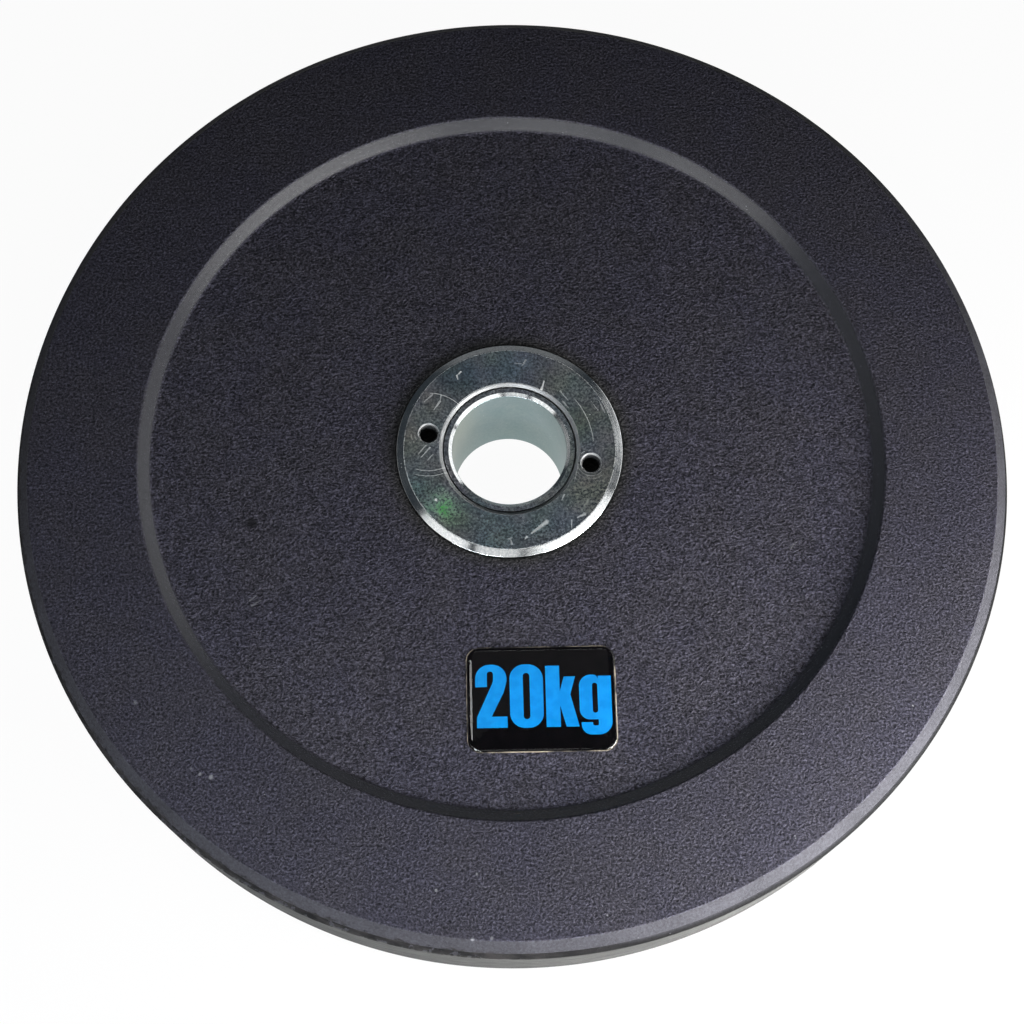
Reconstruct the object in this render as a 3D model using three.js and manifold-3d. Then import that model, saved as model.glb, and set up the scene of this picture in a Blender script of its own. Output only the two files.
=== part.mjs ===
// Solid rubber bumper plate with a screwed two-piece steel hub and a domed weight label.
// Millimetres, +Z up. The plate lies flat, label side up. The origin is the centre of the
// lower rim face, and +Z runs along the bore.

import * as THREE from 'three';
import { mergeVertices } from 'three/addons/utils/BufferGeometryUtils.js';
import Module from 'manifold-3d';

// Driving dimensions of the whole plate

const plateDiameter = 450;
const plateThickness = 64;
const boreDiameter = 52;

// Rubber rim: flat band, bevel, and the shallow groove between the bevel and the side wall

const rimFaceWidth = 49.2;
const rimBevelWidth = 4.9;
const rimBevelDepth = 4.8;
const bevelFootInset = 1.8;
const grooveDepth = 0.6;
const grooveEntryHeight = 1.6;
const grooveFloorHeight = 1.2;
const grooveExitHeight = 1.6;

// Rubber dish: the sunk web inside the rim, alike on both faces

const dishBevelWidth = 6.1;
const dishDepth = 4.5;

// Steel hub: sleeve with a flange at the back, and a flanged ring nut screwed on in front

const sleeveWall = 4;
const flangeDiameter = 102.6;
const flangeThickness = 6.5;
const flangeStand = 2;
const flangeChamferWidth = 3.3;
const flangeChamferDepth = 1.8;
const boreChamferWidth = 1.7;
const boreChamferDepth = 1.2;
const sleeveEndSetback = 1.4;
const sleeveEndChamfer = 0.4;
const nutMouthChamfer = 1.4;
const nutNeckWall = 2.7;
const nutNeckLength = 12;

// Pin-spanner holes, two through each flange

const pinHoleDiameter = 8;
const pinHoleCountersink = 0.8;
const pinHoleWeb = 0.5;
const pinHolesPerFlange = 2;
const pinHoleStartDegrees = -11.4;

// Running and seating clearances

const threadClearance = 0.3;
const rubberClearance = 0.3;
const neckEndClearance = 0.5;

// Weight label: printed film under a poured clear dome

const labelWidth = 65;
const labelHeight = 46.5;
const labelCornerRadius = 6;
const labelSideOffset = 12.8;
const labelEdgeMargin = 24.3;
const labelTurnDegrees = 0.8;
const filmThickness = 0.25;
const domeHeight = 1.6;
const domeCrown = 0.3;
const domeRollWidth = 5;
const domeCrownInset = 14;

// Facet counts and the overrun of every cut

const plateSegments = 144;
const hubSegments = 96;
const holeSegments = 24;
const cornerSegments = 8;
const cutOverrun = 1;

// Radii and levels worked out from the sizes above

const plateRadius = plateDiameter / 2;
const boreRadius = boreDiameter / 2;
const bevelFootRadius = plateRadius - bevelFootInset;
const rimOuterRadius = bevelFootRadius - rimBevelWidth;
const rimInnerRadius = rimOuterRadius - rimFaceWidth;
const dishFloorRadius = rimInnerRadius - dishBevelWidth;
const dishFloorLevel = plateThickness - dishDepth;

const sleeveRadius = boreRadius + sleeveWall;
const nutBoreRadius = sleeveRadius + threadClearance;
const neckRadius = nutBoreRadius + nutNeckWall;
const flangeRadius = flangeDiameter / 2;
const pinHoleRadius = pinHoleDiameter / 2;
const pinCircleRadius = neckRadius + pinHoleWeb + pinHoleRadius;

const flangeFaceDepth = dishDepth - flangeStand;
const flangeSeatDepth = flangeFaceDepth + flangeThickness;
const frontFaceLevel = plateThickness - flangeFaceDepth;
const frontSeatLevel = plateThickness - flangeSeatDepth;
const neckEndLevel = frontSeatLevel - nutNeckLength;
const sleeveEndLevel = frontFaceLevel - sleeveEndSetback;

// Shared makers

// Turns a closed profile of [radius, height] pairs round the Z axis.
function turned(profile, segments) {
  const points = profile.map(([radius, height]) => new THREE.Vector2(radius, height));
  points.push(points[0].clone());
  const geometry = new THREE.LatheGeometry(points, segments);
  geometry.rotateX(Math.PI / 2);
  return weld(geometry);
}

// Keeps only positions and merges the vertices that faces share.
function weld(geometry) {
  geometry.deleteAttribute('normal');
  geometry.deleteAttribute('uv');
  return mergeVertices(geometry);
}

const wasm = await Module();
wasm.setup();

function toSolid(geometry) {
  return new wasm.Manifold(new wasm.Mesh({
    numProp: 3,
    vertProperties: new Float32Array(geometry.attributes.position.array),
    triVerts: new Uint32Array(geometry.index.array),
  }));
}

function toGeometry(solid) {
  const mesh = solid.getMesh();
  const geometry = new THREE.BufferGeometry();
  geometry.setAttribute('position', new THREE.BufferAttribute(mesh.vertProperties, 3));
  geometry.setIndex(new THREE.BufferAttribute(mesh.triVerts, 1));
  return geometry;
}

function named(name, geometry, finish) {
  geometry.computeVertexNormals();
  const mesh = new THREE.Mesh(geometry, new THREE.MeshStandardMaterial(finish));
  mesh.name = name;
  return mesh;
}

// Rubber plate: one moulding, pocketed on both faces for the hub flanges

// Edge of one face, from the dish floor out to the side wall, as [radius, depth below the rim].
const faceEdge = [
  [dishFloorRadius, dishDepth],
  [rimInnerRadius, 0],
  [rimOuterRadius, 0],
  [bevelFootRadius, rimBevelDepth],
  [bevelFootRadius - grooveDepth, rimBevelDepth + grooveEntryHeight],
  [bevelFootRadius - grooveDepth, rimBevelDepth + grooveEntryHeight + grooveFloorHeight],
  [plateRadius, rimBevelDepth + grooveEntryHeight + grooveFloorHeight + grooveExitHeight],
];

function rubberPlate() {
  const pocketRadius = flangeRadius + rubberClearance;
  const neckPocketRadius = neckRadius + rubberClearance;
  const neckPocketLevel = neckEndLevel - neckEndClearance;
  const rubberBoreRadius = sleeveRadius + rubberClearance;
  const back = faceEdge.map(([radius, depth]) => [radius, depth]);
  const front = faceEdge.map(([radius, depth]) => [radius, plateThickness - depth]).reverse();
  const profile = [
    [rubberBoreRadius, flangeSeatDepth],
    [pocketRadius, flangeSeatDepth],
    [pocketRadius, dishDepth],
    ...back,
    ...front,
    [pocketRadius, dishFloorLevel],
    [pocketRadius, frontSeatLevel],
    [neckPocketRadius, frontSeatLevel],
    [neckPocketRadius, neckPocketLevel],
    [rubberBoreRadius, neckPocketLevel],
  ];
  const finish = { color: 0x2a2b31, roughness: 0.85, metalness: 0 };
  return named('rubber_plate', turned(profile, plateSegments), finish);
}

// Pin-spanner holes: drilled square through a flange and countersunk at its open face

// outward is 1 where the flange's open face looks up and -1 where it looks down.
function drillPinHoles(solid, faceLevel, outward) {
  const innerEnd = -(flangeThickness + cutOverrun);
  const drill = [
    [0, innerEnd],
    [pinHoleRadius, innerEnd],
    [pinHoleRadius, -pinHoleCountersink],
    [pinHoleRadius + pinHoleCountersink, 0],
    [pinHoleRadius + pinHoleCountersink + cutOverrun, cutOverrun],
    [0, cutOverrun],
  ];
  let drilled = solid;
  for (let i = 0; i < pinHolesPerFlange; i += 1) {
    const turn = THREE.MathUtils.degToRad(pinHoleStartDegrees) + (i * 2 * Math.PI) / pinHolesPerFlange;
    const hole = turned(drill, holeSegments);
    if (outward < 0) hole.rotateX(Math.PI);
    hole.translate(pinCircleRadius * Math.cos(turn), pinCircleRadius * Math.sin(turn), faceLevel);
    drilled = drilled.subtract(toSolid(hole));
  }
  return drilled;
}

// Hub sleeve: the bar bore, a thread on the outside and the back flange, turned in one piece

const zincFinish = { color: 0xaab4b4, roughness: 0.25, metalness: 1 };

function hubSleeve() {
  const chamferedRadius = boreRadius + boreChamferWidth;
  const profile = [
    [chamferedRadius, flangeFaceDepth],
    [flangeRadius - flangeChamferWidth, flangeFaceDepth],
    [flangeRadius, flangeFaceDepth + flangeChamferDepth],
    [flangeRadius, flangeSeatDepth],
    [sleeveRadius, flangeSeatDepth],
    [sleeveRadius, sleeveEndLevel - sleeveEndChamfer],
    [sleeveRadius - sleeveEndChamfer, sleeveEndLevel],
    [chamferedRadius, sleeveEndLevel],
    [boreRadius, sleeveEndLevel - boreChamferDepth],
    [boreRadius, flangeFaceDepth + boreChamferDepth],
  ];
  const body = toSolid(turned(profile, hubSegments));
  const drilled = drillPinHoles(body, flangeFaceDepth, -1);
  return named('hub_sleeve', toGeometry(drilled), zincFinish);
}

// Hub ring nut: the front flange, with a threaded neck that screws down over the sleeve

function hubRingNut() {
  const profile = [
    [nutBoreRadius, neckEndLevel],
    [neckRadius, neckEndLevel],
    [neckRadius, frontSeatLevel],
    [flangeRadius, frontSeatLevel],
    [flangeRadius, frontFaceLevel - flangeChamferDepth],
    [flangeRadius - flangeChamferWidth, frontFaceLevel],
    [nutBoreRadius + nutMouthChamfer, frontFaceLevel],
    [nutBoreRadius, frontFaceLevel - nutMouthChamfer],
  ];
  const body = toSolid(turned(profile, hubSegments));
  const drilled = drillPinHoles(body, frontFaceLevel, 1);
  return named('hub_ring_nut', toGeometry(drilled), zincFinish);
}

// Label outline: a rectangle with round corners, drawn in by the same amount all round

function roundedOutline(inset) {
  const radius = Math.max(labelCornerRadius - inset, labelCornerRadius * 0.1);
  const cornerX = labelWidth / 2 - inset - radius;
  const cornerY = labelHeight / 2 - inset - radius;
  const corners = [[cornerX, cornerY], [-cornerX, cornerY], [-cornerX, -cornerY], [cornerX, -cornerY]];
  const points = [];
  corners.forEach(([x, y], quarter) => {
    for (let i = 0; i <= cornerSegments; i += 1) {
      const angle = (quarter + i / cornerSegments) * (Math.PI / 2);
      points.push(new THREE.Vector2(x + radius * Math.cos(angle), y + radius * Math.sin(angle)));
    }
  });
  return points;
}

// Label film: printed sheet stuck flat on the dish floor

function labelFilm() {
  const shape = new THREE.Shape(roundedOutline(0));
  const sheet = new THREE.ExtrudeGeometry(shape, { depth: filmThickness, bevelEnabled: false });
  return named('label_film', weld(sheet), { color: 0x0a0b0f, roughness: 0.35, metalness: 0 });
}

// Label dome: resin that rises steeply from the film's edge and swells to a low crown

const rollShares = [0, 0.05, 0.18, 0.38, 0.66, 1];

function labelDome() {
  const rings = rollShares.map((share) => {
    const rise = Math.sqrt(1 - (1 - share) ** 2);
    return { inset: domeRollWidth * share, level: filmThickness + domeHeight * rise };
  });
  rings.push({ inset: domeCrownInset, level: filmThickness + domeHeight + domeCrown });
  const outlines = rings.map(({ inset }) => roundedOutline(inset));
  const count = outlines[0].length;
  const positions = [];
  rings.forEach(({ level }, row) => {
    outlines[row].forEach((point) => positions.push(point.x, point.y, level));
  });
  const bottomCentre = positions.length / 3;
  positions.push(0, 0, filmThickness);
  const topCentre = bottomCentre + 1;
  positions.push(0, 0, filmThickness + domeHeight + domeCrown);
  const faces = [];
  const lastRow = (rings.length - 1) * count;
  for (let i = 0; i < count; i += 1) {
    const next = (i + 1) % count;
    for (let row = 0; row < lastRow; row += count) {
      faces.push(row + i, row + next, row + count + next);
      faces.push(row + i, row + count + next, row + count + i);
    }
    faces.push(bottomCentre, next, i);
    faces.push(topCentre, lastRow + i, lastRow + next);
  }
  const geometry = new THREE.BufferGeometry();
  geometry.setAttribute('position', new THREE.Float32BufferAttribute(positions, 3));
  geometry.setIndex(faces);
  const finish = { color: 0x14161b, roughness: 0.05, metalness: 0, transparent: true, opacity: 0.4 };
  return named('label_dome', geometry, finish);
}

// Assembly

const label = new THREE.Group();
label.add(labelFilm(), labelDome());
const labelDistance = dishFloorRadius - labelEdgeMargin - labelHeight / 2;
label.position.set(labelSideOffset, -labelDistance, dishFloorLevel);
label.rotation.z = THREE.MathUtils.degToRad(labelTurnDegrees);

const group = new THREE.Group();
group.add(rubberPlate(), hubSleeve(), hubRingNut(), label);

export default group;
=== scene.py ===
import math

import bmesh
import bpy
from mathutils import Matrix, Quaternion, Vector


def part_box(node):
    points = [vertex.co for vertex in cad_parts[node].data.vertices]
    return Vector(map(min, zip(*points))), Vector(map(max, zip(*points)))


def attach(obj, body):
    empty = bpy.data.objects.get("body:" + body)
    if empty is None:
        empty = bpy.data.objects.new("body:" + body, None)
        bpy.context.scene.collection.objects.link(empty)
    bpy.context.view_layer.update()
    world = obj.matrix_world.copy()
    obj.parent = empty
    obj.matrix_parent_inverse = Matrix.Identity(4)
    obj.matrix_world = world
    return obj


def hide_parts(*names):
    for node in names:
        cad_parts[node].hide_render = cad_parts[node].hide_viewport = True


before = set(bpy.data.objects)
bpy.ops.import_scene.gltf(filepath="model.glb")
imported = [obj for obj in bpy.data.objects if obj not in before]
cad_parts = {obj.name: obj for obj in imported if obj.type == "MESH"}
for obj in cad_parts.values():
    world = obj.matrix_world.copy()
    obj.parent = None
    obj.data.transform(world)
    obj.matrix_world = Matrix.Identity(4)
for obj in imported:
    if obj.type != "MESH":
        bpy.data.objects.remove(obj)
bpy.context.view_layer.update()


# Rubber plate
# One heavy disc of black rubber, compression moulded round the steel hub: a flat rim, a bevelled
# outer edge over a trimmed groove, and a sunk web on both faces, all turned from one outline.
# The faces keep the mould's grain, and the edges are buffed.

MM = 0.001

plate_low, plate_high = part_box("rubber_plate")
plate_radius = plate_high.x
plate_thickness = plate_high.z
rim_face_width = 49.2 * MM
rim_bevel_width = 4.9 * MM
rim_bevel_depth = 4.8 * MM
bevel_foot_inset = 1.8 * MM
groove_depth = 0.6 * MM
groove_entry_height = 1.6 * MM
groove_floor_height = 1.2 * MM
groove_exit_height = 1.6 * MM
dish_bevel_width = 6.1 * MM
dish_depth = 4.5 * MM
rubber_clearance = 0.3 * MM
rubber_segments = 576
rubber_corner_steps = 5
waver_length = 9 * MM
weld_distance = 0.001 * MM

nut_low, nut_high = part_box("hub_ring_nut")
flange_radius = nut_high.x
flange_thickness = 6.5 * MM
neck_length = 12 * MM
neck_radius = 33 * MM
neck_end_clearance = 0.5 * MM
sleeve_radius = 30 * MM
face_depth = plate_thickness - nut_high.z
seat_depth = face_depth + flange_thickness

bevel_foot_radius = plate_radius - bevel_foot_inset
rim_outer_radius = bevel_foot_radius - rim_bevel_width
rim_inner_radius = rim_outer_radius - rim_face_width
web_radius = rim_inner_radius - dish_bevel_width
groove_radius = bevel_foot_radius - groove_depth
groove_top = rim_bevel_depth + groove_entry_height
groove_bottom = groove_top + groove_floor_height
wall_depth = groove_bottom + groove_exit_height


def add_node(tree, kind, inputs=None, **settings):
    """Adds a node. inputs maps a socket's name or number to its value, or to the socket it is fed by."""
    made = tree.nodes.new(kind)
    for name, value in settings.items():
        setattr(made, name, value)
    for socket, value in (inputs or {}).items():
        if isinstance(value, bpy.types.NodeSocket):
            tree.links.new(value, made.inputs[socket])
        else:
            made.inputs[socket].default_value = value
    return made


def calc(tree, operation, *values):
    """One step of arithmetic on numbers or sockets."""
    return add_node(tree, "ShaderNodeMath", dict(enumerate(values)), operation=operation).outputs[0]


def vector(tree, operation, *values):
    """One step of arithmetic on vectors. A length or a product comes out at Value."""
    return add_node(tree, "ShaderNodeVectorMath", dict(enumerate(values)), operation=operation).outputs


def new_tree(name, kind, inputs, outputs):
    """A node group with named sockets, and its input and output nodes."""
    tree = bpy.data.node_groups.new(name, kind)
    for label, socket in inputs:
        tree.interface.new_socket(label, in_out="INPUT", socket_type="NodeSocket" + socket)
    for label, socket in outputs:
        tree.interface.new_socket(label, in_out="OUTPUT", socket_type="NodeSocket" + socket)
    return tree, tree.nodes.new("NodeGroupInput").outputs, tree.nodes.new("NodeGroupOutput")


def rounded_outline(tree, given):
    """The Outline as a curve, each corner rounded by its point's corner_radius."""
    curve = add_node(tree, "GeometryNodeMeshToCurve", {"Mesh": given["Outline"]})
    corner = add_node(tree, "GeometryNodeInputNamedAttribute", {"Name": "corner_radius"}, data_type="FLOAT")
    return add_node(tree, "GeometryNodeFilletCurve", {
        "Curve": curve.outputs[0], "Count": given["Corner Steps"], "Radius": corner.outputs[0],
        "Limit Radius": True}, mode="POLY").outputs[0]


def end_tree(tree, given, made, shape):
    """Ends a tree with the shape's instances made real and its material set."""
    whole_piece = add_node(tree, "GeometryNodeRealizeInstances", {"Geometry": shape})
    finished = add_node(tree, "GeometryNodeSetMaterial", {
        "Geometry": whole_piece.outputs[0], "Material": given["Finish"]})
    tree.links.new(finished.outputs[0], made.inputs[0])
    return tree


def turned_piece_tree():
    """Rounds the corners of a closed outline in the XZ plane and turns it round the Z axis.

    Each point's corner_radius rounds its corner. Where its waver is above zero, the radius
    wanders in and out by that much, as a hand-trimmed edge does.
    """
    tree, given, made = new_tree(
        "turned_piece", "GeometryNodeTree",
        [("Outline", "Geometry"), ("Segments", "Int"), ("Corner Steps", "Int"),
         ("Waver Length", "Float"), ("Finish", "Material")],
        [("Piece", "Geometry")])
    points = add_node(tree, "GeometryNodeCurveToPoints", {
        "Curve": rounded_outline(tree, given)}, mode="EVALUATED")
    count = add_node(tree, "GeometryNodeAttributeDomainSize", {0: points.outputs["Points"]},
                     component="POINTCLOUD").outputs["Point Count"]

    def whole(operation, a, b):
        return add_node(tree, "FunctionNodeIntegerMath", {0: a, 1: b}, operation=operation).outputs[0]

    rows = whole("ADD", count, 1)
    grid = add_node(tree, "GeometryNodeMeshGrid", {
        "Vertices X": whole("ADD", given["Segments"], 1), "Vertices Y": rows})
    index = add_node(tree, "GeometryNodeInputIndex").outputs[0]
    column = whole("DIVIDE", index, rows)
    row = whole("MODULO", whole("MODULO", index, rows), count)

    def sampled(kind, value):
        return add_node(tree, "GeometryNodeSampleIndex", {
            "Geometry": points.outputs["Points"], "Value": value, "Index": row},
            data_type=kind, domain="POINT").outputs[0]

    place = sampled("FLOAT_VECTOR", add_node(tree, "GeometryNodeInputPosition").outputs[0])
    outline = add_node(tree, "ShaderNodeSeparateXYZ", {0: place}).outputs
    waver = sampled("FLOAT", add_node(
        tree, "GeometryNodeInputNamedAttribute", {"Name": "waver"}, data_type="FLOAT").outputs[0])
    angle = calc(tree, "DIVIDE", calc(tree, "MULTIPLY", column, 2 * math.pi), given["Segments"])
    sine = calc(tree, "SINE", angle)
    cosine = calc(tree, "COSINE", angle)
    true_place = add_node(tree, "ShaderNodeCombineXYZ", {
        0: calc(tree, "MULTIPLY", outline[0], cosine), 1: calc(tree, "MULTIPLY", outline[0], sine),
        2: outline[2]}).outputs[0]
    wander = add_node(tree, "ShaderNodeTexNoise", {
        "Vector": true_place, "Scale": calc(tree, "DIVIDE", 1, given["Waver Length"]),
        "Detail": 3}).outputs[0]
    swing = calc(tree, "MULTIPLY", calc(tree, "SUBTRACT", wander, 0.5), calc(tree, "MULTIPLY", waver, 2))
    radius = calc(tree, "ADD", outline[0], swing)
    wavered = add_node(tree, "ShaderNodeCombineXYZ", {
        0: calc(tree, "MULTIPLY", radius, cosine), 1: calc(tree, "MULTIPLY", radius, sine),
        2: outline[2]}).outputs[0]
    turned = add_node(tree, "GeometryNodeSetPosition", {"Geometry": grid.outputs[0], "Position": wavered})
    merged = add_node(tree, "GeometryNodeMergeByDistance", {
        "Geometry": turned.outputs[0], "Distance": weld_distance})
    smooth = add_node(tree, "GeometryNodeSetShadeSmooth", {"Geometry": merged.outputs[0]})
    return end_tree(tree, given, made, smooth.outputs[0])


def run_tree(piece, tree, settings):
    """Runs a Geometry Nodes tree on a piece and leaves its result as a plain mesh."""
    modifier = piece.modifiers.new(tree.name, "NODES")
    modifier.node_group = tree
    for item in tree.interface.items_tree:
        if item.in_out == "INPUT" and item.name in settings:
            modifier[item.identifier] = settings[item.name]
    flatten(piece)


def flatten(piece):
    """Turns a piece and its modifiers into one plain mesh with its faces pointing out."""
    evaluated = piece.evaluated_get(bpy.context.evaluated_depsgraph_get())
    mesh = bpy.data.meshes.new_from_object(evaluated)
    piece.modifiers.clear()
    piece.data = mesh
    if None in mesh.materials[:]:
        mesh.materials.pop(index=mesh.materials[:].index(None))
    shell = bmesh.new()
    shell.from_mesh(mesh)
    bmesh.ops.recalc_face_normals(shell, faces=shell.faces)
    shell.to_mesh(mesh)
    shell.free()


def outline_object(name, loops):
    """A piece that holds only closed outlines. A point is its place, its corner radius and its waver."""
    places = []
    edges = []
    for loop in loops:
        first = len(places)
        places += loop
        edges += [(first + i, first + (i + 1) % len(loop)) for i in range(len(loop))]
    mesh = bpy.data.meshes.new(name)
    mesh.from_pydata([place for place, _, _ in places], edges, [])
    for attribute, column in (("corner_radius", 1), ("waver", 2)):
        values = mesh.attributes.new(attribute, "FLOAT", "POINT").data
        values.foreach_set("value", [point[column] for point in places])
    piece = bpy.data.objects.new(name, mesh)
    bpy.context.scene.collection.objects.link(piece)
    return piece


def held(profile):
    """Adds a point just past each rounded corner, so that the flats between stay flat when shaded."""
    hold = 0.25 * MM
    least_run = 2.5
    points = []
    for i, (place, corner, waver) in enumerate(profile):
        before, after = profile[i - 1][0], profile[(i + 1) % len(profile)][0]
        turn = (place - before).angle(after - place)
        reach = corner * math.tan(turn / 2) + hold
        for neighbour, side in ((before, "before"), (after, "after")):
            if side == "after":
                points.append((place, corner, waver))
            if (neighbour - place).length > least_run * reach:
                points.append((place.lerp(neighbour, reach / (neighbour - place).length), 0, waver))
    return points


def turned_piece(name, profile, segments, corner_steps, finish):
    """Turns a profile of (radius, height, corner radius) or (radius, height, corner radius, waver)."""
    corners = [(Vector((p[0], 0, p[1])), p[2], p[3] if len(p) > 3 else 0) for p in profile]
    piece = outline_object(name, [held(corners)])
    run_tree(piece, turned_tree, {
        "Segments": segments, "Corner Steps": corner_steps, "Waver Length": waver_length, "Finish": finish})
    return piece


turned_tree = turned_piece_tree()


def smooth_step(tree, value, start, end):
    """Rises smoothly from 0 at start to 1 at end, which may be the lower of the two."""
    return add_node(tree, "ShaderNodeMapRange", {
        "Value": value, "From Min": start, "From Max": end}, interpolation_type="SMOOTHSTEP").outputs[0]


def ring_band_group():
    """Masks the ring between two radii round the Z axis."""
    tree, given, made = new_tree(
        "ring_band", "ShaderNodeTree",
        [("Vector", "Vector"), ("Inner", "Float"), ("Outer", "Float"), ("Softness", "Float")],
        [("Mask", "Float")])
    place = add_node(tree, "ShaderNodeSeparateXYZ", {0: given["Vector"]}).outputs
    flat = add_node(tree, "ShaderNodeCombineXYZ", {0: place[0], 1: place[1]}).outputs[0]
    radius = vector(tree, "LENGTH", flat)["Value"]
    soft = given["Softness"]
    entered = smooth_step(tree, radius, calc(tree, "SUBTRACT", given["Inner"], soft),
                          calc(tree, "ADD", given["Inner"], soft))
    left = smooth_step(tree, radius, calc(tree, "SUBTRACT", given["Outer"], soft),
                       calc(tree, "ADD", given["Outer"], soft))
    tree.links.new(calc(tree, "SUBTRACT", entered, left), made.inputs["Mask"])
    return tree


def marks_group():
    """Masks scattered marks: specks, or short scratches where Stretch is above 1.

    Spacing is the distance between possible marks, Size a mark's width as a share of it, and
    Share how many of the possible marks are there.
    """
    tree, given, made = new_tree(
        "marks", "ShaderNodeTree",
        [("Vector", "Vector"), ("Turn", "Float"), ("Stretch", "Float"), ("Spacing", "Float"),
         ("Size", "Float"), ("Share", "Float")],
        [("Mask", "Float")])
    bend_spacing = 14 * MM
    bend_reach = 2 * MM
    bend = add_node(tree, "ShaderNodeTexNoise", {
        "Vector": given["Vector"], "Scale": 1 / bend_spacing, "Detail": 1}).outputs["Color"]
    bent = vector(tree, "MULTIPLY_ADD", bend, (bend_reach, bend_reach, 0), given["Vector"])[0]
    turned = add_node(tree, "ShaderNodeVectorRotate", {
        "Vector": bent, "Angle": given["Turn"]}, rotation_type="Z_AXIS").outputs[0]
    squeeze = add_node(tree, "ShaderNodeCombineXYZ", {
        0: calc(tree, "DIVIDE", 1, given["Stretch"]), 1: 1, 2: 1}).outputs[0]
    drawn = vector(tree, "MULTIPLY", turned, squeeze)[0]
    cells = add_node(tree, "ShaderNodeTexVoronoi", {
        "Vector": drawn, "Scale": calc(tree, "DIVIDE", 1, given["Spacing"])}).outputs
    inside = smooth_step(tree, cells["Distance"], given["Size"], calc(tree, "MULTIPLY", given["Size"], 0.4))
    chance = add_node(tree, "ShaderNodeSeparateColor", {0: cells["Color"]}).outputs
    there = calc(tree, "LESS_THAN", chance[0], given["Share"])
    strength = calc(tree, "MULTIPLY_ADD", chance[1], 0.7, 0.3)
    mask = calc(tree, "MULTIPLY", calc(tree, "MULTIPLY", inside, there), strength)
    tree.links.new(mask, made.inputs["Mask"])
    return tree


def grain_group():
    """The fine grain of a moulded face, and the mottle of a plated one, as a height from 0 to 1."""
    tree, given, made = new_tree(
        "moulded_grain", "ShaderNodeTree",
        [("Vector", "Vector"), ("Ridge Spacing", "Float")],
        [("Height", "Float")])
    scale = calc(tree, "DIVIDE", 1, given["Ridge Spacing"])
    height = add_node(tree, "ShaderNodeTexNoise", {
        "Vector": given["Vector"], "Scale": scale, "Detail": 1.0, "Roughness": 0.6,
        "Distortion": 0.5}).outputs[0]
    tree.links.new(height, made.inputs["Height"])
    return tree


def stroke_group():
    """Masks a short stroke from Start to End that narrows on its way, as a dent or a scrape does."""
    tree, given, made = new_tree(
        "stroke", "ShaderNodeTree",
        [("Vector", "Vector"), ("Start", "Vector"), ("End", "Vector"), ("Width", "Float")],
        [("Mask", "Float")])
    away = vector(tree, "SUBTRACT", given["Vector"], given["Start"])[0]
    away = vector(tree, "MULTIPLY", away, (1, 1, 0))[0]
    way = vector(tree, "SUBTRACT", given["End"], given["Start"])[0]
    along = add_node(tree, "ShaderNodeClamp", {0: calc(
        tree, "DIVIDE", vector(tree, "DOT_PRODUCT", away, way)["Value"],
        vector(tree, "DOT_PRODUCT", way, way)["Value"])}).outputs[0]
    beside = vector(tree, "SUBTRACT", away, add_node(tree, "ShaderNodeVectorMath", {
        0: way, "Scale": along}, operation="SCALE").outputs[0])[0]
    off = vector(tree, "LENGTH", beside)["Value"]
    width = calc(tree, "MULTIPLY", given["Width"], calc(tree, "MULTIPLY_ADD", along, -0.6, 1.0))
    mask = smooth_step(tree, off, width, calc(tree, "MULTIPLY", width, 0.3))
    tree.links.new(mask, made.inputs["Mask"])
    return tree


ring_band = ring_band_group()
marks = marks_group()
grain = grain_group()
stroke = stroke_group()


def group(tree, effect, inputs):
    """Places a node group in a material and gives its outputs."""
    return add_node(tree, "ShaderNodeGroup", inputs, node_tree=effect).outputs


def new_material(name):
    """A material with only its output and one Principled shader, and its object coordinates."""
    material = bpy.data.materials.new(name)
    material.use_nodes = True
    tree = material.node_tree
    tree.nodes.clear()
    output = add_node(tree, "ShaderNodeOutputMaterial")
    shader = add_node(tree, "ShaderNodeBsdfPrincipled")
    tree.links.new(shader.outputs[0], output.inputs[0])
    place = add_node(tree, "ShaderNodeTexCoord").outputs["Object"]
    return material, tree, shader, place


def blend_colour(tree, share, first, second, blend_type="MIX"):
    """Mixes two colours, given as sockets or as (red, green, blue)."""
    colours = [c if isinstance(c, bpy.types.NodeSocket) else (*c, 1) for c in (first, second)]
    return add_node(tree, "ShaderNodeMix", {0: share, 6: colours[0], 7: colours[1]},
                    data_type="RGBA", blend_type=blend_type).outputs[2]


def blend_number(tree, share, first, second):
    """Mixes two numbers or sockets."""
    return add_node(tree, "ShaderNodeMix", {0: share, 2: first, 3: second}).outputs[0]


def noise(tree, place, size, detail=2.0, roughness=0.5):
    """Noise from 0 to 1 whose blotches are about as large as size."""
    return add_node(tree, "ShaderNodeTexNoise", {
        "Vector": place, "Scale": 1 / size, "Detail": detail, "Roughness": roughness}).outputs[0]


def stretched(tree, place, x, y, z):
    """Object coordinates scaled, so that a pattern is drawn out along the axes scaled down."""
    return vector(tree, "MULTIPLY", place, (x, y, z))[0]


def on_face(x, y):
    """A spot given in millimetres, for masks that look along the axis."""
    return (x * MM, y * MM, 0)


def distance(tree, place, spot, level):
    """How far the surface is from a spot given in millimetres at that level."""
    return vector(tree, "DISTANCE", place, (spot[0] * MM, spot[1] * MM, level))["Value"]


def scattered(tree, place, turn, stretch, spacing, size, share):
    """Scattered marks, from a row of a table whose spacing is in millimetres."""
    return group(tree, marks, {
        "Vector": place, "Turn": turn, "Stretch": stretch, "Spacing": spacing * MM, "Size": size,
        "Share": share})["Mask"]


def struck(tree, place, start, end, width):
    """A stroke, from a row of a table in millimetres."""
    return group(tree, stroke, {
        "Vector": place, "Start": on_face(*start), "End": on_face(*end), "Width": width * MM})["Mask"]


def ringed(tree, place, inner, outer, softness):
    """The mask of a ring about the axis, or about a place that was shifted there."""
    return group(tree, ring_band, {
        "Vector": place, "Inner": inner, "Outer": outer, "Softness": softness})["Mask"]


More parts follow.
